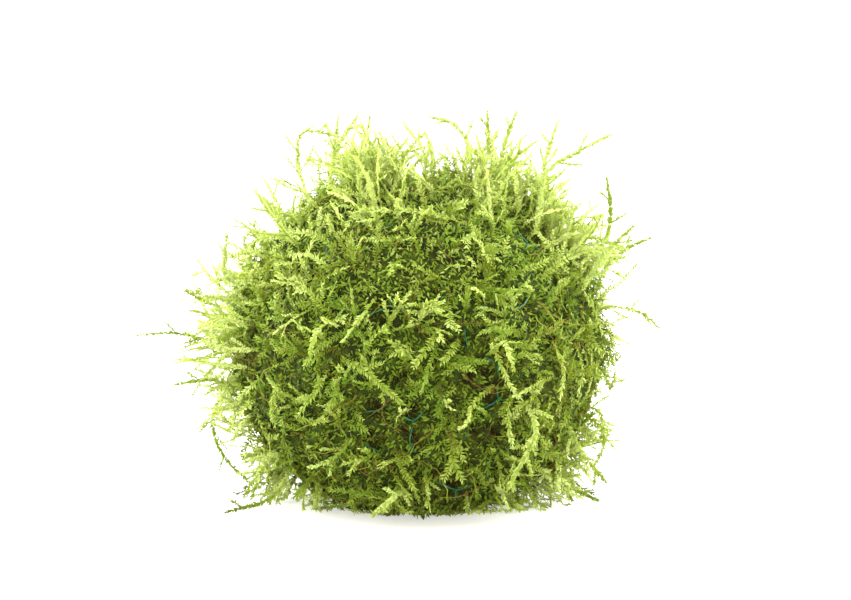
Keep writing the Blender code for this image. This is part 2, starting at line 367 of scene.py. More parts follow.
# Long sprigs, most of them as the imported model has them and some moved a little: the azimuth and
# elevation of the root, and the points in millimetres that the sprig passes on its way to its tip
LONG_SPRIGS = (
    (-60, 53, "fine", ((-18.8, -9.4, 55), (-20.2, -6, 61.6), (-18.9, -5, 64.9), (-12.6, -3, 63.6))),
    (-85, 66, "slender", ((-14.4, 0, 60), (-10.2, 0, 67.2))),
    (-110, 58, "slender", ((-14.6, 9, 59.6), (-13.8, 7, 66.2))),
    (-78, 47, "slender", ((-24.6, -5, 51.4), (-26.8, -4, 53.8))),
    (-72, 24, "slender", ((-32.6, -5, 39.8), (-32.4, -5, 47.2))),
    (20, 84, "slender", ((1.2, -5.6, 61), (-2.4, -3, 66.0))),
    (80, 76, "fine", ((8.6, 1, 61.4), (6.2, 1, 65.4), (2.1, 0, 66.8))),
    (110, 64, "fine", ((12.4, 7.4, 60.6), (12.0, 6, 67.0))),
    (60, 44, "slender", ((20.8, -8.4, 54.6), (21.6, -6, 60.4), (23.6, -3, 66.2))),
    (90, 50, "slender", ((22.0, 0, 57.4), (27.6, 1, 60.8), (32.8, 2, 63.4))),
    (100, 64, "slender", ((14.6, 5, 60.4), (16.8, 5, 67.0))),
    (88, 30, "slender", ((32.0, 0, 45), (33.0, 0, 50), (32.4, 0, 56.2))),
    (70, 22, "slender", ((31.4, -7.4, 44.2), (36.4, -6.6, 49.0))),
    (95, 16, "slender", ((32.6, 3.6, 40.4), (36.2, 3.4, 43.6), (39.8, 3, 45.4))),
    (75, 14, "fine", ((33.6, -8, 35.4), (38.2, -6.6, 33.9), (41.0, -5.6, 31.3))),
    (84, -6, "slender", ((33.0, -5, 20.6), (33.8, -5, 23.6))),
    (66, -14, "fine", ((30.6, -16, 18.6), (31.2, -15, 13.0), (29.6, -15, 9.4))),
    (-86, 6, "fine", ((-36.0, -0.6, 28.4), (-41.6, -1.4, 29.6), (-48.0, -2, 29.4))),
    (-90, 12, "slender", ((-35.4, 4.6, 33.4), (-40.4, 3.6, 36.2))),
    (-76, -10, "slender", ((-34.6, -8, 22.8), (-41.0, -9, 22.2))),
    (-92, -14, "fine", ((-34.8, 4, 16.8), (-36.0, 3, 12.2), (-34.0, 2, 7.0), (-30.0, 1, 3.0))),
    (-6, -38, "slender", ((-4.0, -29.0, 7.6), (-7.4, -27.0, 4.0))),
    (34, -8, "slender", ((19.0, -30.0, 18.4), (14.6, -31.6, 10.0))),
    (58, -20, "slender", ((27.6, -19.4, 12.4), (31.4, -18.0, 7.6))),
    (-30, 12, "slender", ((-16.0, -31.6, 36.0), (-17.0, -36.0, 33.0))),
    (22, 8, "slender", ((13.8, -32.4, 34.0), (15.2, -36.6, 30.4))),
    (-62, -38, "slender", ((-25.0, -11.6, 3.0), (-32.4, -13.0, 1.0))),
    (70, -42, "slender", ((25.6, -5.0, 3.4), (31.0, -5.4, 1.0))),
    (180, 34, "slender", ((1.0, 31.0, 46.0), (4.0, 33.5, 51.4))),
    (152, 10, "slender", ((16.6, 32.0, 36.0), (18.0, 37.0, 35.0))),
    (-150, 4, "fine", ((-21.0, 30.4, 27.6), (-21.6, 36.0, 31.0), (-19.6, 40.0, 29.6))),
    (-170, -38, "slender", ((-7.4, 25.8, 4.4), (-8.4, 31.0, 1.1))),
    (140, -38, "slender", ((20.0, 24.6, 7.0), (23.4, 27.0, 1.4))),
)
SPRIG_ROOT = 3 * MM
SPRIG_RIPE = 0.08
SPRIG_TONE = (0.04, 0.06)
SPRIG_SCALE = 1.1
SPRIG_BRANCH_SCALE = 1.0
SPRIG_BRANCH_SPACING = (2.2 * MM, 4.0 * MM)
SPRIG_BRANCH_SHARE = (0.12, 0.26)
SPRIG_FACE = Vector((0, -1, 0.3))
SPRIG_TILT = 0.4
SPRIG_END_ON = 0.8
SPRIG_SEED = 41

# Sprigs that lie over the front: the kind, and for each point its x and height in the
# photograph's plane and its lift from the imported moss, in millimetres
FRONT_SPRIGS = (
    ("comb", ((8.1, 47.1, 3.4), (2.1, 48.8, 4.6), (-3.6, 49.2, 4.8), (-9.7, 49.1, 5.0))),
    ("leafy", ((8.1, 46.7, 3.2), (11.4, 50.8, 4.4), (14.1, 55.3, 5.0))),
    ("pale", ((12.4, 20.9, 3.0), (9.0, 18.3, 5.2), (7.8, 14.8, 6.4), (6.7, 14.1, 6.8))),
    ("pale", ((14.7, 18.3, 4.6), (14.5, 15.0, 6.0), (15.3, 11.4, 6.2))),
    ("pale", ((22.4, 22.2, 3.0), (19.0, 20.9, 4.6), (15.5, 19.1, 5.4))),
    ("pale", ((22.0, 28.0, 3.0), (23.8, 23.4, 5.0), (23.2, 18.6, 5.6))),
    ("pale", ((26.0, 27.6, 3.0), (27.2, 23.0, 4.8), (26.4, 19.0, 5.0))),
    ("leafy", ((21.9, 10.5, 3.0), (25.0, 7.6, 4.6), (27.9, 5.3, 5.0))),
    ("leafy", ((24.5, 5.6, 2.6), (27.6, 2.6, 3.6), (30.5, 0.6, 4.2))),
    ("pale", ((-2.8, 5.6, 3.0), (-4.3, 1.6, 5.0), (-7.4, -1.6, 6.2))),
    ("comb", ((3.4, 29.7, 3.4), (1.4, 26.8, 5.4), (-0.6, 24.0, 6.0))),
    ("comb", ((6.4, 28.2, 3.4), (5.4, 26.2, 5.0), (3.8, 24.8, 5.6))),
    ("comb", ((-0.8, 27.6, 3.4), (-2.4, 26.4, 5.0), (-4.2, 26.0, 5.4))),
    ("fine", ((-6.6, 35.1, 2.6), (-9.5, 31.3, 4.8), (-11.9, 28.0, 5.2))),
    ("leafy", ((-12.1, 25.2, 3.4), (-8.5, 23.4, 5.0), (-5.5, 20.9, 5.4), (-2.4, 18.1, 4.6))),
    ("pale", ((11.7, 29.5, 3.4), (12.7, 26.0, 5.0), (14.3, 22.0, 5.4), (16.2, 19.0, 5.0))),
    ("leafy", ((-22.6, 21.7, 3.0), (-23.6, 18.4, 5.0), (-23.8, 14.8, 5.4))),
    ("leafy", ((-14.3, 23.4, 3.0), (-16.4, 20.0, 5.2), (-19.5, 15.7, 5.4))),
    ("leafy", ((-26.4, 5.6, 2.4), (-29.4, 2.4, 3.6), (-32.4, -0.6, 3.8))),
    ("old", ((2.0, 30.8, 2.4), (7.6, 30.9, 3.0), (14.2, 30.8, 2.8))),
    ("old", ((-22.0, 39.0, 2.8), (-22.6, 35.2, 3.4), (-22.4, 31.2, 3.0))),
    ("leafy", ((15.9, 8.8, 3.0), (15.2, 6.2, 4.6), (13.6, 4.0, 5.0))),
    ("leafy", ((1.0, 52.0, 3.2), (6.0, 53.6, 4.4), (11.4, 54.0, 4.6))),
    ("leafy", ((-13.0, 43.0, 3.2), (-17.4, 45.4, 5.2), (-21.4, 46.0, 5.4))),
    ("leafy", ((20.0, 38.0, 3.2), (24.0, 41.2, 4.8), (27.6, 42.6, 4.6))),
)
LYING_TILT = 0.3
LYING_SCALE = 1.05
LYING_RIPE = 0.04
LYING_TONE = 0.04
LYING_BRANCH_SCALE = 0.9
LYING_BRANCH_SPACING = (2.4 * MM, 4.0 * MM)
LYING_BRANCH_SHARE = (0.14, 0.3)
LYING_SEED = 43

# One leaf, a unit long and wide: each corner's place, and how far along and across the blade it is
LEAF_CORNERS = (
    ((0, 0, 0), 0.0, 0.5),
    ((-0.5, 0.4, 0.16), 0.4, 0.0),
    ((0.5, 0.4, 0.16), 0.4, 1.0),
    ((0, 1, 0.1), 1.0, 0.5),
)

# What differs from leaf to leaf: the least and the most, and the run of random numbers
LEAF_RANGES = {
    "stem": (-0.02, 0.02, 0.0),
    "spread": (-0.3, 0.3, 0.0),
    "lift": (-0.4, 0.6, 1.0),
    "twist": (-0.5, 0.5, 2.0),
    "size": (0.72, 1.18, 3.0),
    "ripe": (-0.13, 0.07, 4.0),
    "tone": (-0.16, 0.16, 5.0),
}
MAT_RANGES = {
    "rise": (0.1, 1.0, 71),
    "size": (0.75, 1.25, 72),
    "ripe": (-0.08, 0.3, 73),
    "tone": (-0.14, 0.12, 74),
}

# The seed of each piece's leaves
PIECE_SEEDS = {
    "moss_mat": 61,
    "moss_old_shoots": 3,
    "moss_stems": 4,
    "moss_front": 10,
    "moss_back": 11,
    "moss_left": 12,
    "moss_right": 13,
    "moss_top": 14,
    "moss_under": 15,
    "moss_tufts_left": 20,
    "moss_tufts_right": 21,
    "moss_long_sprigs": 30,
    "moss_front_sprigs": 31,
}

# The colour map: its names on a mesh, the range of its first number, which is how ripe a spot is
# with painted light and shade added, and the places of leaves and stems in its second, which is their tone
COLOUR_MAPS = ("Look", "OFBake")
RIPE_RANGE = (0.01, 0.99)
BLADE_RIPENESS = 0.12
EDGE_TONE = 0.03
LEAF_PLACE = 0.04
LEAF_PLACES = 0.64
FIRST_STEM_PLACE = 0.74
STEM_PLACE = 0.8
STEM_PLACES = 0.14

# Colours of leaves and stems by how ripe they are, painted light included, besides those in the settings
GREEN_STOPS = (
    (0.0, (0.014, 0.022, 0.003)),
    (0.3, (0.044, 0.092, 0.006)),
    (0.6, (0.138, 0.265, 0.014)),
    (0.82, (0.250, 0.355, 0.046)),
)
YELLOW_STOPS = (
    (0.0, (0.040, 0.028, 0.006)),
    (0.3, (0.120, 0.108, 0.011)),
    (0.6, (0.265, 0.330, 0.024)),
    (0.82, (0.345, 0.405, 0.068)),
)
STEM_STOPS = (
    (0.0, (0.060, 0.028, 0.010)),
    (0.6, (0.220, 0.190, 0.015)),
    (1.0, (0.360, 0.450, 0.050)),
)
OLD_STEM_STOP = 0.35
LEAF_GLOW = 0.54

# Colours of the bed, from its hollows to its lumps: brown in the gaps and green elsewhere, both going
# near black in the hollows as painted shade
BED_BROWN_AND_SHADE_STOPS = (
    (0.3, (0.008, 0.005, 0.003)),
    (0.45, (0.026, 0.015, 0.006)),
    (0.58, (0.030, 0.030, 0.007)),
    (0.72, (0.070, 0.085, 0.014)),
)
BED_GREEN_AND_SHADE_STOPS = (
    (0.36, (0.007, 0.008, 0.002)),
    (0.48, (0.016, 0.023, 0.003)),
    (0.58, (0.040, 0.058, 0.005)),
    (0.7, (0.105, 0.130, 0.010)),
)
BED_PATCH_SHARE = 0.45
BED_FIBRE_SHARE = 0.55
BED_PATCH_SCALE = 420.0
BED_FIBRE_SCALE = 2600.0
BED_BUMP = 0.3 * MM

# The thread: places on its ramp with how much of its colour each has, and what wear adds to it
DARK_THREAD = (0.3, 0.55)
PLAIN_THREAD = 0.55
WORN_THREAD = (0.75, 1.6)
WEAR_ADDED = 0.012
WEAR_SCALE = 900.0
YARN_SCALE = 6000.0
YARN_BUMP = 0.05 * MM


def length_setting(name, description, default):
    return FloatProperty(name=name, description=description, default=default, unit="LENGTH", precision=5)


def colour_setting(name, description, default):
    return FloatVectorProperty(
        name=name, description=description, default=default, subtype="COLOR", size=3, min=0, max=1
    )


class MossBallSettings(bpy.types.PropertyGroup):
    """Sizes and colours of the moss ball."""

    leaf_length: length_setting("Leaf length", "Length of a full-grown leaf", 1.0 * MM)
    leaf_width: length_setting("Leaf width", "Width of a full-grown leaf", 0.37 * MM)
    mat_leaf_scale: FloatProperty(
        name="Mat leaf scale", description="Size of the mat's leaves beside those of a shoot", default=1.1
    )
    leaf_pitch: length_setting("Leaf pitch", "From one leaf to the next on one side of a stem", 0.45 * MM)
    stem_radius: length_setting("Stem radius", "Half the thickness of a stem", 0.1 * MM)
    strand_radius: length_setting("Strand radius", "Half the thickness of the net's thread", 0.14 * MM)
    fresh_green: colour_setting("Fresh green", "Colour of a fresh leaf tip", (0.440, 0.550, 0.145))
    fresh_yellow: colour_setting("Fresh yellow", "Colour of the palest leaf tips", (0.550, 0.610, 0.200))
    old_stem: colour_setting("Old stem", "Colour of an old stem", (0.230, 0.125, 0.024))
    net_thread: colour_setting("Net thread", "Colour of the net's thread", (0.014, 0.092, 0.036))


def settings():
    return bpy.context.scene.moss_ball


def new_object(name, data):
    """An object in the scene."""
    item = bpy.data.objects.new(name, data)
    bpy.context.scene.collection.objects.link(item)
    return item


def towards(azimuth, elevation):
    """A direction from the middle. Azimuth 0 is the front and 90 the right."""
    turn = math.radians(azimuth)
    rise = math.radians(elevation)
    level = math.cos(rise)
    return Vector((math.sin(turn) * level, -math.cos(turn) * level, math.sin(rise)))


LUMP_WAYS = [(towards(azimuth, elevation), height, spread) for azimuth, elevation, height, spread in LUMPS]


def packed_reach(direction):
    """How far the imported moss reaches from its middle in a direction."""
    level = direction.xy.length_squared / PACKED_RADIUS**2
    reach = (level + direction.z**2 / PACKED_RISE**2) ** -0.5
    for way, height, spread in LUMP_WAYS:
        away = math.degrees(direction.angle(way))
        reach += height * math.exp(-((away / spread) ** 2))
    return reach + RIPPLE_HEIGHT * noise.noise(direction * (reach / RIPPLE_LENGTH))


def point_over(direction, lift):
    """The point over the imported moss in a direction, lifted from it."""
    return MIDDLE + direction * (packed_reach(direction) + lift)


def point_above(direction, lift, lowest):
    """The same, but kept at or over a height from the floor."""
    point = point_over(direction, lift)
    point.z = max(point.z, lowest)
    return point


def drifted(direction):
    """A direction moved sideways a little, so that no two of the net's cells are alike."""
    drift = noise.noise_vector(direction / CELL_DRIFT_LENGTH)
    return (direction + CELL_DRIFT * drift).normalized()


def in_view(x, height, lift):
    """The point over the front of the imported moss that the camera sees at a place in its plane."""
    near = -PACKED_RADIUS * VIEW_REACH
    far = 0.0
    for _ in range(VIEW_HALVINGS):
        depth = (near + far) / 2
        z = (height - depth * math.sin(VIEW_RISE)) / math.cos(VIEW_RISE)
        offset = Vector((x, depth, z)) - MIDDLE
        if offset.length > packed_reach(offset.normalized()) + lift:
            near = depth
        else:
            far = depth
    return Vector((x, depth, z))


def random_vector(rng):
    return Vector((rng.gauss(0, 1), rng.gauss(0, 1), rng.gauss(0, 1)))


def sideways(rng, up):
    """A random direction at right angles to another."""
    side = random_vector(rng)
    return (side - up * side.dot(up)).normalized()


def tilted(rng, way, tilt):
    """A direction tilted at random from another."""
    return (way + tilt * sideways(rng, way)).normalized()


def even_directions(count, rng, jitter):
    """Directions spread evenly all round, each moved a little at random."""
    turn = math.pi * (3 - math.sqrt(5))
    spacing = math.sqrt(4 * math.pi / count)
    ways = []
    for index in range(count):
        z = 1 - 2 * (index + 0.5) / count
        level = math.sqrt(1 - z * z)
        way = Vector((level * math.cos(turn * index), level * math.sin(turn * index), z))
        ways.append((way + random_vector(rng) * spacing * jitter).normalized())
    return ways


def blend(ends, share):
    return ends[0] + (ends[1] - ends[0]) * share


def smooth_step(value, start, end):
    share = min(max((value - start) / (end - start), 0), 1)
    return share * share * (3 - 2 * share)


def clear_of_bed(point):
    """A point kept above the bed of old moss and above the floor.

    Away from the middle the moss hangs less low, and less so in front than at the sides.
    """
    offset = point - MIDDLE
    way = offset.normalized()
    least = packed_reach(way) + BED_CLEARANCE
    if offset.length < least:
        point = MIDDLE + way * least
    out = math.hypot(point.x * UNDERSIDE_WIDTH, point.y) - UNDERSIDE_REACH
    point.z = max(point.z, FLOOR_CLEARANCE + UNDERSIDE_SLOPE * max(out, 0))
    return point


def walk(start, heading, length, lean, bend, swerve):
    """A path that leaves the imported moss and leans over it.

    Lean is the angle from straight out, and grows by bend over the whole length. Swerve is how
    far the path turns to the side.
    """
    steps = max(LEAST_STEPS, round(length / STEP))
    points = [start.copy()]
    for index in range(steps):
        up = (points[-1] - MIDDLE).normalized()
        heading = (heading - up * heading.dot(up)).normalized()
        heading = Quaternion(up, swerve / steps) @ heading
        angle = lean + bend * index / steps
        ahead = heading * math.sin(angle) + up * math.cos(angle)
        points.append(clear_of_bed(points[-1] + ahead * (length / steps)))
    return points


def sprout(start, way, bend, length):
    """A path that leaves in a direction and bends as it goes."""
    steps = max(LEAST_STEPS, round(length / STEP))
    points = [start.copy()]
    for index in range(steps):
        ahead = (way + bend * (index / steps)).normalized()
        points.append(clear_of_bed(points[-1] + ahead * (length / steps)))
    return points


def smooth_path(points):
    """A smooth path through points, in even steps. Each stretch is a Catmull-Rom curve."""
    ends = [points[0] * 2 - points[1]] + list(points) + [points[-1] * 2 - points[-2]]
    path = [points[0].copy()]
    for before, start, end, after in zip(ends, ends[1:], ends[2:], ends[3:]):
        count = max(1, round((end - start).length / STEP))
        for index in range(1, count + 1):
            t = index / count
            square = (2 * before - 5 * start + 4 * end - after) * t**2
            cube = (3 * start - before - 3 * end + after) * t**3
            path.append(0.5 * (2 * start + (end - before) * t + square + cube))
    return path


class Paths:
    """Paths of shoots for one piece, with what each point of them carries."""

    def __init__(self):
        self.points = []
        self.edges = []
        self.faces = []
        self.values = {}

    def add(self, points, face, kind, look):
        """One more path. Its look is its leaves' scale, and what to add to how ripe it is and to its tone.
        How ripe each point is also takes painted light, glow and shade by where it stands.
        """
        scale, ripe, tone = look
        shoot = KINDS[kind]
        first = len(self.points)
        last = len(points) - 1
        for index, point in enumerate(points):
            along = index / last
            taper = ROOT_LEAF + (1 - ROOT_LEAF) * smooth_step(along, 0, ROOT_END)
            taper *= 1 - TIP_LEAF_LOSS * smooth_step(along, TIP_START, 1)
            carried = {
                # How ripe it is, with painted light, glow and shade added by where it stands
                "ripe": blend(shoot.ripe, along**RIPE_POWER) + ripe + ripeness_and_painted_light(point),
                "tone": shoot.tone + tone,
                "leaf": shoot.width * scale * taper,
                "broad": shoot.broad,
                "stem": shoot.stem * (1 - STEM_LOSS * along),
                "spread": math.radians(blend(shoot.spread, along**SPREAD_POWER)),
            }
            for name, value in carried.items():
                self.values.setdefault(name, []).append(value)
        self.points += points
        self.faces += [face] * len(points)
        self.edges += [(first + index, first + index + 1) for index in range(last)]

    def branch(self, points, face, kind, look, rng, spacing=BRANCH_SPACING, share=BRANCH_SHARE):
        """Side branches, left and right by turns, along a path."""
        scale, ripe, tone = look
        length = sum((after - before).length for before, after in zip(points, points[1:]))
        travelled = 0
        due = length * BRANCH_START + rng.uniform(0, spacing[0])
        hand = rng.choice((-1, 1))
        for before, point in zip(points, points[1:]):
            travelled += (point - before).length
            if travelled < due or travelled > length * BRANCH_END:
                continue
            due = travelled + rng.uniform(*spacing)
            hand = -hand
            along = (point - before).normalized()
            side = along.cross(face).normalized() * hand
            angle = math.radians(rng.uniform(*BRANCH_ANGLE))
            reach = LEAST_BRANCH + (length - travelled) * rng.uniform(*share)
            steps = max(LEAST_BRANCH_STEPS, round(reach / STEP))
            way = along * math.cos(angle) + side * math.sin(angle) + face * rng.uniform(*BRANCH_LIFT)
            twig = [point.copy()]
            for _ in range(steps):
                way = (way + along * BRANCH_CURL).normalized()
                twig.append(clear_of_bed(twig[-1] + way * (reach / steps)))
            riper = ripe + BRANCH_RIPENESS * travelled / length
            self.add(twig, face, kind, (scale * BRANCH_SCALE, riper, tone))

    def make_object(self, name):
        mesh = bpy.data.meshes.new(name)
        mesh.from_pydata(self.points, self.edges, [])
        face = mesh.attributes.new("face", "FLOAT_VECTOR", "POINT")
        face.data.foreach_set("vector", [value for way in self.faces for value in way])
        for value_name, values in self.values.items():
            mesh.attributes.new(value_name, "FLOAT", "POINT").data.foreach_set("value", values)
        return new_object(name, mesh)


def gap_ways():
    """Where the fresh shoots leave gaps, each as a direction and a radius."""
    rng = random.Random(GAP_SEED)
    gaps = []
    for x, height, radius in FRONT_GAPS:
        place = in_view(x * MM, height * MM, NET_LIFT)
        gaps.append(((place - MIDDLE).normalized(), radius * MM))
    for way in even_directions(OTHER_GAPS, rng, OTHER_GAP_JITTER):
        radius = rng.uniform(*OTHER_GAP_RADIUS)
        if way.y > OTHER_GAP_FRONT:
            gaps.append((way, radius))
    return gaps


def crosses_gap(points, gaps):
    """Whether a path passes over one of the gaps."""
    ways = [(point - MIDDLE) for point in points]
    for gap, radius in gaps:
        for offset in ways:
            along = offset.dot(gap)
            if along > 0 and (offset - gap * along).length < radius + GAP_MARGIN:
                return True
    return False


def gap_share(point, gaps):
    """How far a point is inside a gap: 1 in its middle and 0 outside all of them."""
    offset = point - MIDDLE
    share = 0
    for gap, radius in gaps:
        along = offset.dot(gap)
        if along > 0:
            away = (offset - gap * along).length
            share = max(share, 1 - smooth_step(away, radius * GAP_EDGE[0], radius * GAP_EDGE[1]))
    ragged = noise.noise(point / GAP_RAG_LENGTH)
    return share * smooth_step(ragged, *GAP_RAG)


def flow(way):
    """Which way the shoots tend to run: out from the front and back, and down under the middle."""
    out = Vector((way.x, 0, way.z * FLOW_RISE - FLOW_SINK))
    return out - way * out.dot(way)


def ripeness_and_painted_light(point):
    """How much riper moss is where it grows: partly fresher growth on top, and otherwise painted light on
    top and underneath, a painted glow where it stands clear of the ball and painted shade where it strays
    far out.
    """
    offset = point - MIDDLE
    clear = smooth_step(offset.length, *CLEAR_REACH) * smooth_step(point.z, 0, LOW_HEIGHT)
    stray = smooth_step(offset.length, *STRAY_REACH)
    rise = offset.z / PACKED_RISE
    by_height = TOP_FRESHNESS_AND_PAINTED_LIGHT * max(rise, 0) + UNDER_PAINTED_LIGHT * max(-rise, 0)
    return by_height + CLEAR_PAINTED_GLOW * clear + STRAY_PAINTED_SHADE * stray + ALL_RIPENESS


def region_of(way):
    return max(REGIONS, key=lambda name: way.dot(Vector(REGIONS[name])))


def picked(rng, shares):
    """One of the kinds of shoot, by their shares."""
    return rng.choices(list(shares), list(shares.values()))[0]


def frond_path(rng, way, gaps):
    """The path of a frond that goes round the gaps, or no path."""
    pick = rng.random()
    for share, lean, scale in FROND_LEANS:
        if pick < share:
            break
        pick -= share
    if way.angle(towards(*DIP)) < math.radians(DIP_SPREAD):
        scale *= DIP_LENGTH
    start = point_over(way, rng.uniform(*FROND_ROOT))
    for _ in range(GAP_TRIES):
        heading = (sideways(rng, way) + FROND_FLOW * flow(way)).normalized()
        length = rng.uniform(*FROND_LENGTH) * scale
        angle = math.radians(rng.uniform(*lean))
        bend = math.radians(rng.uniform(*FROND_BEND))
        points = walk(start, heading, length, angle, bend, rng.gauss(0, FROND_SWERVE))
        if not crosses_gap(points, gaps):
            return points
    return None if rng.random() > GAP_LEAK else points


def lay_fronds(region):
    """The fresh fronds of one region. Each root has its own run of random numbers."""
    rng = random.Random(FROND_SEED)
    gaps = gap_ways()
    paths = Paths()
    for way in even_directions(FROND_COUNT, rng, FROND_JITTER):
        seed = rng.random()
        if region_of(way) != region:
            continue
        own = random.Random(seed)
        if way.z < HIDDEN_HEIGHT and own.random() < HIDDEN_SHARE:
            continue
        points = frond_path(own, way, gaps)
        if points is None:
            continue
        middle = points[len(points) // 2]
        tone = TONE_PATCH * noise.noise(middle / TONE_PATCH_LENGTH) + own.gauss(0, TONE_CHANCE)
        ripe_patch = noise.noise(middle / RIPE_PATCH_LENGTH + RIPE_PATCH_SHIFT)
        ripe = own.gauss(0, RIPE_CHANCE) + RIPE_PATCH * ripe_patch
        face = tilted(own, (middle - MIDDLE).normalized(), FROND_TILT)
        kind = picked(own, FROND_KINDS)
        look = (own.uniform(*FROND_SCALE), ripe, tone)
        paths.add(points, face, kind, look)
        if own.random() < BRANCHED_SHARE:
            paths.branch(points, face, kind, look, own)
    return paths


def lay_old_shoots():
    rng = random.Random(OLD_SEED)
    paths = Paths()
    for way in even_directions(OLD_COUNT, rng, OLD_JITTER):
        start = point_over(way, rng.uniform(*OLD_ROOT))
        lean = math.radians(rng.uniform(*OLD_LEAN))
        heading = sideways(rng, way)
        length = rng.uniform(*OLD_LENGTH)
        points = walk(start, heading, length, lean, OLD_BEND, rng.gauss(0, OLD_SWERVE))
        face = tilted(rng, way, OLD_TILT)
        look = (rng.uniform(*OLD_SCALE), rng.gauss(0, OLD_RIPE), rng.gauss(0, OLD_TONE))
        paths.add(points, face, "old", look)
    return paths


def lay_stems():
    """Bare stems, tangled among the fronds and standing out a little round the rim."""
    rng = random.Random(STEM_SEED)
    paths = Paths()
    for way in even_directions(STEM_COUNT, rng, STEM_JITTER):
        start = point_over(way, rng.uniform(*STEM_ROOT))
        lean = math.radians(rng.uniform(*STEM_LEAN))
        bend = math.radians(rng.uniform(*STEM_BEND))
        heading = sideways(rng, way)
        length = rng.uniform(*STEM_LENGTH)
        points = walk(start, heading, length, lean, bend, rng.gauss(0, STEM_SWERVE))
        points = points[:1] + [point + STEM_KINK * sideways(rng, way) for point in points[1:]]
        paths.add(points, way, "thread", (1.0, rng.gauss(*STEM_RIPE), rng.gauss(0, STEM_TONE)))
    return paths


def lay_tufts(side):
    """The tufts on one side of the ball: -1 for the left and 1 for the right."""
    rng = random.Random(TUFT_SEED)
    paths = Paths()
    for azimuth, elevation, spread, count, lengths, drawn in TUFTS:
        core = towards(azimuth, elevation)
        if (core.x < 0) != (side < 0):
            continue
        for _ in range(count):
            apart = sideways(rng, core) * math.radians(spread) * abs(rng.gauss(0, TUFT_SCATTER))
            way = (core + apart).normalized()
            start = point_over(way, TUFT_ROOT)
            ahead = (way + Vector(drawn) + TUFT_OPENING * sideways(rng, way)).normalized()
            bend = TUFT_BEND * sideways(rng, ahead) + TUFT_DROOP
            length = blend(lengths, rng.random() ** TUFT_LENGTH_POWER) * MM
            points = sprout(start, ahead, bend, length)
            kind = picked(rng, TUFT_KINDS)
            face = (Vector((0, -1, 0)) * abs(core.x) + TUFT_TILT * sideways(rng, ahead)).normalized()
            ripe = rng.gauss(*TUFT_RIPENESS_AND_PAINTED_GLOW)
            tone = rng.gauss(*TUFT_TONE)
            look = (rng.uniform(*TUFT_SCALE), ripe, tone)
            paths.add(points, face, kind, look)
            if rng.random() < TUFT_BRANCHED_SHARE:
                paths.branch(points, face, kind, look, rng, share=TUFT_BRANCH_SHARE)
    return paths


def lay_long_sprigs():
    rng = random.Random(SPRIG_SEED)
    paths = Paths()
    for azimuth, elevation, kind, passed in LONG_SPRIGS:
        way = towards(azimuth, elevation)
        corners = [point_over(way, 0), point_over(way, SPRIG_ROOT)]
        points = smooth_path(corners + [Vector(point) * MM for point in passed])
        ahead = (points[-1] - points[0]).normalized()
        face = (SPRIG_FACE + SPRIG_TILT * sideways(rng, ahead)).normalized()
        if abs(ahead.dot(face)) > SPRIG_END_ON:
            face = Vector((0, 0, 1))
        tone = rng.gauss(*SPRIG_TONE)
        paths.add(points, face, kind, (SPRIG_SCALE, SPRIG_RIPE, tone))
        look = (SPRIG_BRANCH_SCALE, SPRIG_RIPE, tone)
        paths.branch(points, face, kind, look, rng, SPRIG_BRANCH_SPACING, SPRIG_BRANCH_SHARE)
    return paths


def lay_front_sprigs():
    rng = random.Random(LYING_SEED)
    paths = Paths()
    for kind, passed in FRONT_SPRIGS:
        corners = [in_view(x * MM, height * MM, lift * MM) for x, height, lift in passed]
        points = [clear_of_bed(point) for point in smooth_path(corners)]
        face = tilted(rng, (points[len(points) // 2] - MIDDLE).normalized(), LYING_TILT)
        paths.add(points, face, kind, (LYING_SCALE, LYING_RIPE, rng.gauss(0, LYING_TONE)))
        if kind == "leafy":
            look = (LYING_BRANCH_SCALE, 0, 0)
            paths.branch(points, face, kind, look, rng, LYING_BRANCH_SPACING, LYING_BRANCH_SHARE)
    return paths


def lay_net():
    """The middle lines of the strands. Knots lie over the faces of a ball, and join by threes."""
    noise.seed_set(DRIFT_SEED)
    ball = bmesh.new()
    bmesh.ops.create_icosphere(ball, subdivisions=CELL_DETAIL, radius=1)
    ways = [face.calc_center_median().normalized() for face in ball.faces]
    knots = [point_above(drifted(way), NET_LIFT, NET_HEIGHT) for way in ways]
    pairs = [[face.index for face in edge.link_faces] for edge in ball.edges]
    ball.free()
    points = []
    edges = []
    girth = []
    for start, end in pairs:
        for index in range(STRAND_PARTS + 1):
            share = index / STRAND_PARTS
            point = knots[start].lerp(knots[end], share)
            slack = math.sin(math.pi * share) * STRAND_SLACK
            point += noise.noise_vector(point / STRAND_WAVE) * slack
            point.z = max(point.z, NET_HEIGHT)
            if index:
                edges.append((len(points) - 1, len(points)))
            points.append(point)
            girth.append(1 + KNOT_GIRTH * abs(2 * share - 1) ** KNOT_POWER)
    mesh = bpy.data.meshes.new("net_paths")
    mesh.from_pydata(points, edges, [])
    mesh.attributes.new("girth", "FLOAT", "POINT").data.foreach_set("value", girth)
    return new_object("net_paths", mesh)


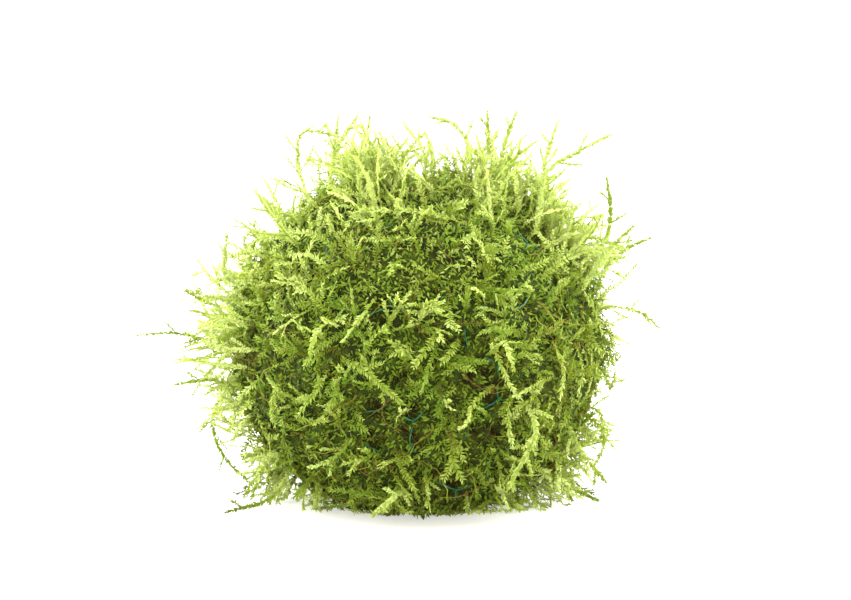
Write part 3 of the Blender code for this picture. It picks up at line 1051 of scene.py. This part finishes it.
class Tree:
    """A node tree to build. Most methods add a node and give the socket with its result."""

    def __init__(self, node_tree):
        self.node_tree = node_tree

    def set(self, node, inputs):
        """Sets or links a node's inputs, each by its name or its number."""
        for key, value in inputs.items():
            if isinstance(value, bpy.types.NodeSocket):
                self.node_tree.links.new(value, node.inputs[key])
            else:
                node.inputs[key].default_value = value
        return node

    def add(self, kind, inputs=None, **options):
        """A new node, with its options and inputs set."""
        node = self.node_tree.nodes.new(kind)
        for name, value in options.items():
            setattr(node, name, value)
        return self.set(node, inputs or {})

    def make(self, kind, inputs=None, **options):
        """The first result of a new node."""
        return self.add(kind, inputs, **options).outputs[0]

    def math(self, operation, *values):
        return self.make("ShaderNodeMath", dict(enumerate(values)), operation=operation)

    def vector_math(self, operation, *values):
        return self.make("ShaderNodeVectorMath", dict(enumerate(values)), operation=operation)

    def scaled(self, vector, scale):
        return self.make("ShaderNodeVectorMath", {0: vector, "Scale": scale}, operation="SCALE")

    def read(self, name, data_type="FLOAT"):
        """The values stored under a name."""
        return self.make("GeometryNodeInputNamedAttribute", {"Name": name}, data_type=data_type)

    def store(self, geometry, name, value, domain="POINT", data_type="FLOAT"):
        inputs = {"Geometry": geometry, "Name": name, "Value": value}
        return self.make("GeometryNodeStoreNamedAttribute", inputs, domain=domain, data_type=data_type)

    def random(self, low, high, seed):
        inputs = {2: low, 3: high, "Seed": seed}
        return self.add("FunctionNodeRandomValue", inputs, data_type="FLOAT").outputs[1]

    def noise(self, place, scale, inputs=None, **options):
        inputs = {"Vector": place, "Scale": scale, **(inputs or {})}
        return self.make("ShaderNodeTexNoise", inputs, **options)

    def mixed(self, share, first, second):
        """A colour between two others."""
        inputs = {0: share, 6: first, 7: second}
        return self.add("ShaderNodeMix", inputs, data_type="RGBA").outputs[2]

    def ramp(self, value, stops):
        """The colour that a ramp has for a value. Each stop is a place on it and a colour."""
        node = self.add("ShaderNodeValToRGB", {0: value})
        elements = node.color_ramp.elements
        elements.remove(elements[-1])
        elements[0].position = stops[0][0]
        elements[0].color = (*stops[0][1], 1)
        for place, colour in stops[1:]:
            elements.new(place).color = (*colour, 1)
        return node.outputs[0]

    def tubes(self, curves, sides, radius):
        """A smooth tube along each curve."""
        ring = self.make("GeometryNodeCurvePrimitiveCircle", {"Resolution": sides, "Radius": 1.0})
        inputs = {"Curve": curves, "Profile Curve": ring, "Scale": radius, "Fill Caps": True}
        tubes = self.make("GeometryNodeCurveToMesh", inputs)
        return self.make("GeometryNodeSetShadeSmooth", {"Geometry": tubes, "Shade Smooth": True})

    def finish(self, geometry, material):
        """Ends a Geometry Nodes tree: one real mesh in one material."""
        geometry = self.make("GeometryNodeRealizeInstances", {"Geometry": geometry})
        geometry = self.make("GeometryNodeSetMaterial", {"Geometry": geometry, "Material": material})
        self.add("NodeGroupOutput", {0: geometry})
        return self.node_tree


# The inputs that aren't numbers, and those of every tree that places leaves
SOCKET_KINDS = {"Geometry": "Geometry", "Leaf": "Object", "Seed": "Int", "Material": "Material"}
LEAF_INPUTS = ("Leaf", "Leaf length", "Leaf width", "Seed", "Material")


def new_tree(name, inputs):
    """An empty Geometry Nodes tree, and what it is given."""
    group = bpy.data.node_groups.new(name, "GeometryNodeTree")
    for input_name in ("Geometry", *inputs):
        kind = "NodeSocket" + SOCKET_KINDS.get(input_name, "Float")
        group.interface.new_socket(input_name, in_out="INPUT", socket_type=kind)
    group.interface.new_socket("Geometry", in_out="OUTPUT", socket_type="NodeSocketGeometry")
    tree = Tree(group)
    return tree, tree.add("NodeGroupInput").outputs


def place_leaves(tree, given, points, points_at, faces_to, size, broad, ripe, place, wanted=True):
    """A leaf on each point. Its tip points one way and its flat side faces another."""
    axes = {"Primary Axis": points_at, "Secondary Axis": faces_to}
    turned = tree.make("FunctionNodeAxesToRotation", axes, primary_axis="Y", secondary_axis="Z")
    width = tree.math("MULTIPLY", tree.math("MULTIPLY", size, given["Leaf width"]), broad)
    length = tree.math("MULTIPLY", size, given["Leaf length"])
    scale = tree.make("ShaderNodeCombineXYZ", {"X": width, "Y": length, "Z": width})
    leaf = tree.add("GeometryNodeObjectInfo", {"Object": given["Leaf"]}).outputs["Geometry"]
    inputs = {"Points": points, "Selection": wanted, "Instance": leaf, "Rotation": turned, "Scale": scale}
    leaves = tree.make("GeometryNodeInstanceOnPoints", inputs)
    leaves = tree.store(leaves, "ripe", ripe, "INSTANCE")
    leaves = tree.store(leaves, "place", place, "INSTANCE")
    return tree.make("GeometryNodeRealizeInstances", {"Geometry": leaves})


def kept_above_floor(tree, geometry):
    """Presses what would pass through the floor flat on it."""
    position = tree.make("GeometryNodeInputPosition")
    parts = tree.add("ShaderNodeSeparateXYZ", {0: position}).outputs
    below = tree.math("MINIMUM", tree.math("SUBTRACT", parts["Z"], SOFT_FLOOR), 0.0)
    pressed = tree.math("EXPONENT", tree.math("DIVIDE", below, SOFT_FLOOR))
    height = tree.math("MAXIMUM", parts["Z"], tree.math("MULTIPLY", pressed, SOFT_FLOOR))
    moved = tree.make("ShaderNodeCombineXYZ", {"X": parts["X"], "Y": parts["Y"], "Z": height})
    return tree.make("GeometryNodeSetPosition", {"Geometry": geometry, "Position": moved})


def finish_leaves(tree, geometry, material):
    """Ends a tree of leaves, with each corner's place in the colour map stored under its names."""
    geometry = kept_above_floor(tree, geometry)
    ripe = tree.math("MULTIPLY_ADD", tree.read("blade"), BLADE_RIPENESS, tree.read("ripe"))
    ripe = tree.make("ShaderNodeClamp", {0: ripe, 1: RIPE_RANGE[0], 2: RIPE_RANGE[1]})
    place = tree.math("MULTIPLY_ADD", tree.read("edge"), EDGE_TONE, tree.read("place"))
    spot = tree.make("ShaderNodeCombineXYZ", {"X": ripe, "Y": place})
    for map_name in COLOUR_MAPS:
        geometry = tree.store(geometry, map_name, spot, "CORNER", "FLOAT2")
    return tree.finish(geometry, material)


def leafy_shoot_tree():
    """Grows a stem and two rows of leaves along each path."""
    name = "Leafy shoots"
    if name in bpy.data.node_groups:
        return bpy.data.node_groups[name]
    tree, given = new_tree(name, LEAF_INPUTS + ("Leaf pitch", "Stem radius"))
    curves = tree.make("GeometryNodeMeshToCurve", {"Mesh": given["Geometry"]})

    def varied(what):
        low, high, run = LEAF_RANGES[what]
        return tree.random(low, high, tree.math("ADD", given["Seed"], run))

    # The stem
    radius = tree.math("MULTIPLY", tree.read("stem"), given["Stem radius"])
    place = tree.math("MULTIPLY_ADD", tree.read("tone"), STEM_PLACES, STEM_PLACE)
    stems = tree.tubes(curves, STEM_SIDES, radius)
    stems = tree.store(stems, "place", tree.math("ADD", place, varied("stem")))

    # Points for leaves, with the stem's own directions at each
    half_pitch = tree.math("MULTIPLY", given["Leaf pitch"], 0.5)
    inputs = {"Curve": curves, "Length": half_pitch}
    spots = tree.add("GeometryNodeCurveToPoints", inputs, mode="LENGTH").outputs
    along = spots["Tangent"]
    side = tree.vector_math("CROSS_PRODUCT", along, tree.read("face", "FLOAT_VECTOR"))
    side = tree.vector_math("NORMALIZE", side)
    out = tree.vector_math("CROSS_PRODUCT", side, along)
    index = tree.make("GeometryNodeInputIndex")
    hand = tree.math("MULTIPLY_ADD", tree.math("MODULO", index, 2.0), 2.0, -1.0)

    # Which way each leaf points, and which way its flat side faces
    spread = tree.math("ADD", tree.read("spread"), varied("spread"))
    ahead = tree.scaled(along, tree.math("COSINE", spread))
    across = tree.scaled(side, tree.math("MULTIPLY", tree.math("SINE", spread), hand))
    points_at = tree.vector_math("ADD", ahead, across)
    points_at = tree.vector_math("ADD", points_at, tree.scaled(out, varied("lift")))
    faces_to = tree.vector_math("ADD", out, tree.scaled(side, varied("twist")))

    # The leaves, and both together
    size = tree.math("MULTIPLY", varied("size"), tree.read("leaf"))
    wanted = tree.math("GREATER_THAN", tree.read("leaf"), LEAST_LEAF)
    ripe = tree.math("ADD", tree.read("ripe"), varied("ripe"))
    tone = tree.math("ADD", tree.read("tone"), varied("tone"))
    tone = tree.make("ShaderNodeClamp", {0: tone, 1: 0.0, 2: 1.0})
    place = tree.math("MULTIPLY_ADD", tone, LEAF_PLACES, LEAF_PLACE)
    broad = tree.read("broad")
    leaves = place_leaves(
        tree, given, spots["Points"], points_at, faces_to, size, broad, ripe, place, wanted
    )
    both = tree.add("GeometryNodeJoinGeometry", {0: leaves})
    tree.set(both, {0: stems})
    return finish_leaves(tree, both.outputs[0], given["Material"])


def patches(tree, position, seed):
    """Soft patches on the mat, from about 0.3 to 0.7."""
    return tree.noise(position, 1 / MAT_PATCH_LENGTH, {"Detail": 1.0, "W": seed}, noise_dimensions="4D")


def leaf_mat_tree():
    """Scatters single leaves over the bed, few of them in its gaps."""
    tree, given = new_tree("Leaf mat", LEAF_INPUTS + ("Count",))
    area = 4 * math.pi * (PACKED_RADIUS + MAT_RISE) ** 2
    gap = tree.read("Gap")
    density = tree.math("DIVIDE", given["Count"], area)
    density = tree.math("MULTIPLY", density, tree.math("SUBTRACT", MAT_COVER, gap))
    inputs = {"Mesh": given["Geometry"], "Density": density, "Seed": given["Seed"]}
    spots = tree.add("GeometryNodeDistributePointsOnFaces", inputs).outputs
    up = spots["Normal"]
    corners = {0: (-1, -1, -1), 1: (1, 1, 1)}
    way = tree.make("FunctionNodeRandomValue", corners, data_type="FLOAT_VECTOR")
    flat = tree.vector_math("CROSS_PRODUCT", up, way)
    points_at = tree.vector_math("ADD", flat, tree.scaled(up, tree.random(*MAT_RANGES["rise"])))
    faces_to = tree.vector_math("ADD", up, tree.scaled(way, MAT_TILT))
    size = tree.random(*MAT_RANGES["size"])

    # Ripe on top of the ball, partly as painted light, old and darker in the gaps, partly as painted
    # shade, and both ripeness and tone in patches
    position = tree.make("GeometryNodeInputPosition")
    height = tree.add("ShaderNodeSeparateXYZ", {0: position}).outputs["Z"]
    heights = {"Value": height, "From Min": MIDDLE.z, "From Max": PACKED_RISE * 2}
    on_top = tree.make("ShaderNodeMapRange", {**heights, "To Max": MAT_TOP_FRESHNESS_AND_PAINTED_LIGHT})
    ripe = tree.math("MULTIPLY_ADD", gap, MAT_GAP_AGE_AND_PAINTED_SHADE, tree.random(*MAT_RANGES["ripe"]))
    ripe_patch = patches(tree, position, RIPENESS_PATCHES)
    ripe = tree.math("MULTIPLY_ADD", ripe_patch, MAT_PATCH_RIPENESS, ripe)
    ripe = tree.math("ADD", ripe, on_top)
    tone_patch = patches(tree, position, TONE_PATCHES)
    tone = tree.random(*MAT_RANGES["tone"])
    place = tree.math("MULTIPLY_ADD", tone_patch, MAT_PATCH_TONE, tone)
    leaves = place_leaves(tree, given, spots["Points"], points_at, faces_to, size, 1.0, ripe, place)
    return finish_leaves(tree, leaves, given["Material"])


def net_tree():
    """Makes a round strand along each path, thicker at its knots."""
    tree, given = new_tree("Net strands", ("Strand radius", "Material"))
    curves = tree.make("GeometryNodeMeshToCurve", {"Mesh": given["Geometry"]})
    curves = tree.make("GeometryNodeCurveSplineType", {"Curve": curves}, spline_type="CATMULL_ROM")
    inputs = {"Curve": curves, "Count": STRAND_RINGS}
    curves = tree.make("GeometryNodeResampleCurve", inputs, mode="COUNT")
    radius = tree.math("MULTIPLY", tree.read("girth"), given["Strand radius"])
    return tree.finish(tree.tubes(curves, STRAND_SIDES, radius), given["Material"])


def make_leaf():
    """One leaf: a pointed blade folded along its middle."""
    shape = bmesh.new()
    bmesh.ops.create_cone(shape, cap_ends=True, cap_tris=True, segments=3, radius1=1, radius2=0, depth=1)
    blade = shape.verts.layers.float.new("blade")
    edge = shape.verts.layers.float.new("edge")
    for vertex, (place, share, across) in zip(shape.verts, LEAF_CORNERS):
        vertex.co = place
        vertex[blade] = share
        vertex[edge] = across
    bmesh.ops.recalc_face_normals(shape, faces=shape.faces)
    mesh = bpy.data.meshes.new("leaf")
    shape.to_mesh(mesh)
    shape.free()
    return new_object("leaf", mesh)


def remove_object(item):
    """Removes an object and its mesh."""
    mesh = item.data
    bpy.data.objects.remove(item, do_unlink=True)
    bpy.data.meshes.remove(mesh)


def finish_piece(name, source, tree, values, node):
    """The plain mesh that a tree makes of a source object, as a piece in place of a node."""
    modifier = source.modifiers.new("Growth", "NODES")
    modifier.node_group = tree
    for item in tree.interface.items_tree:
        if item.in_out == "INPUT" and item.name in values:
            modifier[item.identifier] = values[item.name]
    bpy.context.view_layer.update()
    graph = bpy.context.evaluated_depsgraph_get()
    mesh = bpy.data.meshes.new_from_object(
        source.evaluated_get(graph), preserve_all_data_layers=True, depsgraph=graph
    )
    mesh.name = name
    kept = {*COLOUR_MAPS, "sharp_face", "material_index"}
    for attribute_name in [one.name for one in mesh.attributes]:
        attribute = mesh.attributes[attribute_name]
        if not (attribute.is_internal or attribute.is_required or attribute_name in kept):
            mesh.attributes.remove(attribute)
    remove_object(source)
    claim(new_object(name, mesh), node)


def claim(piece, node):
    """A piece rides on the ball and stands for one of its nodes."""
    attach(piece, "root")
    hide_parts(node)


def grow_moss(name, source, tree, scale=1):
    """Turns a source object into a piece of leafy moss."""
    values = settings()
    leaf = make_leaf()
    given = {
        "Leaf": leaf,
        "Leaf length": values.leaf_length * scale,
        "Leaf width": values.leaf_width * scale,
        "Leaf pitch": values.leaf_pitch,
        "Stem radius": values.stem_radius,
        "Count": MAT_LEAVES,
        "Seed": PIECE_SEEDS[name],
        "Material": moss_material(),
    }
    finish_piece(name, source, tree, given, "moss")
    remove_object(leaf)


def grow_shoots(name, paths):
    grow_moss(name, paths.make_object(name + "_paths"), leafy_shoot_tree())


def new_material(name):
    """A material with only a Principled shader, the tree to build on, and that shader."""
    material = bpy.data.materials.new(name)
    material.use_nodes = True
    return material, Tree(material.node_tree), material.node_tree.nodes["Principled BSDF"]


def moss_material():
    """Leaves and stems, coloured by their place in the colour map. Light shines through them."""
    name = "moss_leaves"
    if name in bpy.data.materials:
        return bpy.data.materials[name]
    values = settings()
    material, tree, shader = new_material(name)
    spot = tree.make("ShaderNodeUVMap", uv_map=COLOUR_MAPS[0])
    parts = tree.add("ShaderNodeSeparateXYZ", {0: spot}).outputs
    green = tree.ramp(parts["X"], GREEN_STOPS + ((1.0, tuple(values.fresh_green)),))
    yellow = tree.ramp(parts["X"], YELLOW_STOPS + ((1.0, tuple(values.fresh_yellow)),))
    stem = tree.ramp(parts["X"], STEM_STOPS + ((OLD_STEM_STOP, tuple(values.old_stem)),))
    places = {"Value": parts["Y"], "From Min": LEAF_PLACE, "From Max": LEAF_PLACE + LEAF_PLACES}
    leaf = tree.mixed(tree.make("ShaderNodeMapRange", places), green, yellow)
    is_stem = tree.math("GREATER_THAN", parts["Y"], FIRST_STEM_PLACE)
    colour = tree.mixed(is_stem, leaf, stem)
    tree.set(shader, {"Base Color": colour, "Roughness": 0.42, "Specular IOR Level": 0.11})
    through = tree.make("ShaderNodeBsdfTranslucent", {"Color": colour})
    surface = tree.make("ShaderNodeMixShader", {0: LEAF_GLOW, 1: shader.outputs[0], 2: through})
    tree.set(material.node_tree.nodes["Material Output"], {"Surface": surface})
    return material


def bed_material():
    """Matted old moss: brown, flecked with dull green, and near black where shade is painted in its gaps
    and between the flecks.
    """
    material, tree, shader = new_material("old_moss")
    place = tree.add("ShaderNodeTexCoord").outputs["Object"]
    blotches = tree.noise(place, BED_PATCH_SCALE, {"Detail": 4.0})
    fibres = tree.noise(place, BED_FIBRE_SCALE, {"Detail": 3.0, "Distortion": 1.4})
    # The flecks and hollows, whose low end is painted near black as shade between the flecks
    height = tree.math("MULTIPLY", fibres, BED_FIBRE_SHARE)
    height = tree.math("MULTIPLY_ADD", blotches, BED_PATCH_SHARE, height)
    gap = tree.add("ShaderNodeAttribute", attribute_name="Gap").outputs["Fac"]
    colour = tree.mixed(gap, tree.ramp(height, BED_GREEN_AND_SHADE_STOPS), tree.ramp(height, BED_BROWN_AND_SHADE_STOPS))
    bump = tree.make("ShaderNodeBump", {"Height": fibres, "Strength": 0.9, "Distance": BED_BUMP})
    looks = {"Base Color": colour, "Normal": bump, "Roughness": 0.7, "Specular IOR Level": 0.04}
    tree.set(shader, looks)
    return material


def thread_material():
    """Soft net thread: teal green, a little paler and duller in places."""
    material, tree, shader = new_material("net_thread")
    place = tree.add("ShaderNodeTexCoord").outputs["Object"]
    base = tuple(settings().net_thread)
    dark = tuple(DARK_THREAD[1] * value for value in base)
    worn = tuple(WORN_THREAD[1] * value + WEAR_ADDED for value in base)
    wear = tree.noise(place, WEAR_SCALE, {"Detail": 3.0})
    stops = ((DARK_THREAD[0], dark), (PLAIN_THREAD, base), (WORN_THREAD[0], worn))
    colour = tree.ramp(wear, stops)
    fibres = tree.noise(place, YARN_SCALE)
    bump = tree.make("ShaderNodeBump", {"Height": fibres, "Strength": 0.4, "Distance": YARN_BUMP})
    looks = {"Base Color": colour, "Normal": bump, "Roughness": 0.5, "Specular IOR Level": 0.15}
    tree.set(shader, looks)
    return material


def bed_mesh():
    """The bed's mesh, and how far each of its points is inside a gap."""
    gaps = gap_ways()
    shape = bmesh.new()
    bmesh.ops.create_icosphere(shape, subdivisions=BED_DETAIL, radius=1)
    hollow = shape.verts.layers.float.new("Gap")
    for vertex in shape.verts:
        way = vertex.co.normalized()
        point = point_above(way, 0, BED_HEIGHT)
        share = gap_share(point, gaps)
        lump = noise.fractal(point / BED_LUMP_LENGTH, *BED_LUMP_FRACTAL)
        point += way * (BED_LUMP * lump + MAT_RISE * (1 - share) - BED_DEPTH * share)
        point.z = max(point.z, BED_HEIGHT)
        vertex.co = point
        vertex[hollow] = share
    mesh = bpy.data.meshes.new("moss_bed")
    shape.to_mesh(mesh)
    shape.free()
    mesh.shade_smooth()
    return mesh


class MOSSBALL_OT_bed(bpy.types.Operator):
    """Make the bed of moss, which is green and leafy but for the brown bottoms of the gaps"""

    bl_idname = "moss_ball.bed"
    bl_label = "Bed and mat"

    def execute(self, context):
        mesh = bed_mesh()
        mesh.materials.append(bed_material())
        claim(new_object("moss_bed", mesh), "moss")
        source = new_object("mat_source", mesh.copy())
        grow_moss("moss_mat", source, leaf_mat_tree(), settings().mat_leaf_scale)
        return {"FINISHED"}


class MOSSBALL_OT_old_shoots(bpy.types.Operator):
    """Grow the old, brown-stemmed shoots that lie flat on the bed, and the bare stems over them"""

    bl_idname = "moss_ball.old_shoots"
    bl_label = "Old shoots"

    def execute(self, context):
        grow_shoots("moss_old_shoots", lay_old_shoots())
        grow_shoots("moss_stems", lay_stems())
        return {"FINISHED"}


class MOSSBALL_OT_fronds(bpy.types.Operator):
    """Grow the fresh, branching fronds that cover the ball, region by region"""

    bl_idname = "moss_ball.fronds"
    bl_label = "Fresh fronds"

    def execute(self, context):
        for region in REGIONS:
            grow_shoots(region, lay_fronds(region))
        return {"FINISHED"}


class MOSSBALL_OT_tufts(bpy.types.Operator):
    """Grow the tufts of shoots that stand clear of the ball round its rim"""

    bl_idname = "moss_ball.tufts"
    bl_label = "Tufts"

    def execute(self, context):
        grow_shoots("moss_tufts_left", lay_tufts(-1))
        grow_shoots("moss_tufts_right", lay_tufts(1))
        return {"FINISHED"}


class MOSSBALL_OT_sprigs(bpy.types.Operator):
    """Grow the long stray sprigs and the sprigs that lie over the front"""

    bl_idname = "moss_ball.sprigs"
    bl_label = "Sprigs"

    def execute(self, context):
        grow_shoots("moss_long_sprigs", lay_long_sprigs())
        grow_shoots("moss_front_sprigs", lay_front_sprigs())
        return {"FINISHED"}


class MOSSBALL_OT_net(bpy.types.Operator):
    """Make the soft net that holds the ball together"""

    bl_idname = "moss_ball.net"
    bl_label = "Net"

    def execute(self, context):
        given = {"Strand radius": settings().strand_radius, "Material": thread_material()}
        finish_piece("net_strands", lay_net(), net_tree(), given, "net")
        return {"FINISHED"}


def add_floor():
    place = (0, 0, -FLOOR_DROP)
    bpy.ops.mesh.primitive_circle_add(
        vertices=FLOOR_SIDES, radius=FLOOR_RADIUS, fill_type="NGON", location=place
    )
    floor = bpy.context.object
    floor.name = "floor"
    material, tree, shader = new_material("pale_floor")
    looks = {
        "Base Color": FLOOR_COLOUR,
        "Roughness": 0.9,
        "Specular IOR Level": 0.1,
        "Emission Color": FLOOR_GLOW,
        "Emission Strength": FLOOR_GLOW_STRENGTH,
    }
    tree.set(shader, looks)
    floor.data.materials.append(material)


def add_lamp(name, place, size, power):
    """A soft square lamp that shines on the ball's middle."""
    data = bpy.data.lights.new(name, "AREA")
    data.size = size
    data.energy = power
    lamp = new_object(name, data)
    lamp.location = place
    lamp.rotation_euler = (Vector(place) - MIDDLE).to_track_quat("Z", "Y").to_euler()


def add_camera():
    """The camera, which sees the ball at the photograph's scale and place."""
    right = (PHOTO_WIDTH / 2 - AXIS_PIXEL) / PIXELS_PER_METRE
    up = (GROUND_PIXEL - PHOTO_HEIGHT / 2) / PIXELS_PER_METRE / math.cos(VIEW_RISE)
    data = bpy.data.cameras.new("camera")
    data.sensor_width = SENSOR_MM
    data.lens = SENSOR_MM * VIEW_DISTANCE * PIXELS_PER_METRE / PHOTO_WIDTH
    data.clip_start = VIEW_START
    camera = new_object("camera", data)
    away = Vector((0, -math.cos(VIEW_RISE), math.sin(VIEW_RISE)))
    camera.location = Vector((right, 0, up)) + away * VIEW_DISTANCE
    camera.rotation_euler = away.to_track_quat("Z", "Y").to_euler()
    bpy.context.scene.camera = camera


class MOSSBALL_OT_stage(bpy.types.Operator):
    """Set out the pale floor, the soft lights and the camera"""

    bl_idname = "moss_ball.stage"
    bl_label = "Stage"

    def execute(self, context):
        context.scene.view_settings.view_transform = "Standard"
        add_floor()
        world = bpy.data.worlds.new("white_room")
        world.use_nodes = True
        room = {"Color": (1, 1, 1, 1), "Strength": ROOM_STRENGTH}
        Tree(world.node_tree).set(world.node_tree.nodes["Background"], room)
        context.scene.world = world
        for name, (place, size, power) in LAMPS.items():
            add_lamp(name, place, size, power)
        add_camera()
        return {"FINISHED"}


class MOSSBALL_PT_panel(bpy.types.Panel):
    """Lists the pieces of the moss ball and their sizes and colours"""

    bl_idname = "MOSSBALL_PT_panel"
    bl_label = "Java moss ball"
    bl_space_type = "VIEW_3D"
    bl_region_type = "UI"
    bl_category = "Moss ball"

    def draw(self, context):
        values = context.scene.moss_ball
        for name in MossBallSettings.__annotations__:
            self.layout.prop(values, name)
        for operator in OPERATORS:
            self.layout.operator(operator.bl_idname)


OPERATORS = (
    MOSSBALL_OT_stage,
    MOSSBALL_OT_bed,
    MOSSBALL_OT_net,
    MOSSBALL_OT_old_shoots,
    MOSSBALL_OT_fronds,
    MOSSBALL_OT_tufts,
    MOSSBALL_OT_sprigs,
)


def register():
    bpy.utils.register_class(MossBallSettings)
    for operator in OPERATORS:
        bpy.utils.register_class(operator)
    bpy.utils.register_class(MOSSBALL_PT_panel)
    bpy.types.Scene.moss_ball = PointerProperty(type=MossBallSettings)


def unregister():
    del bpy.types.Scene.moss_ball
    bpy.utils.unregister_class(MOSSBALL_PT_panel)
    for operator in reversed(OPERATORS):
        bpy.utils.unregister_class(operator)
    bpy.utils.unregister_class(MossBallSettings)


def main():
    register()
    bpy.ops.moss_ball.stage()
    bpy.ops.moss_ball.bed()
    bpy.ops.moss_ball.net()
    bpy.ops.moss_ball.old_shoots()
    bpy.ops.moss_ball.fronds()
    bpy.ops.moss_ball.tufts()
    bpy.ops.moss_ball.sprigs()


if __name__ == "__main__":
    main()
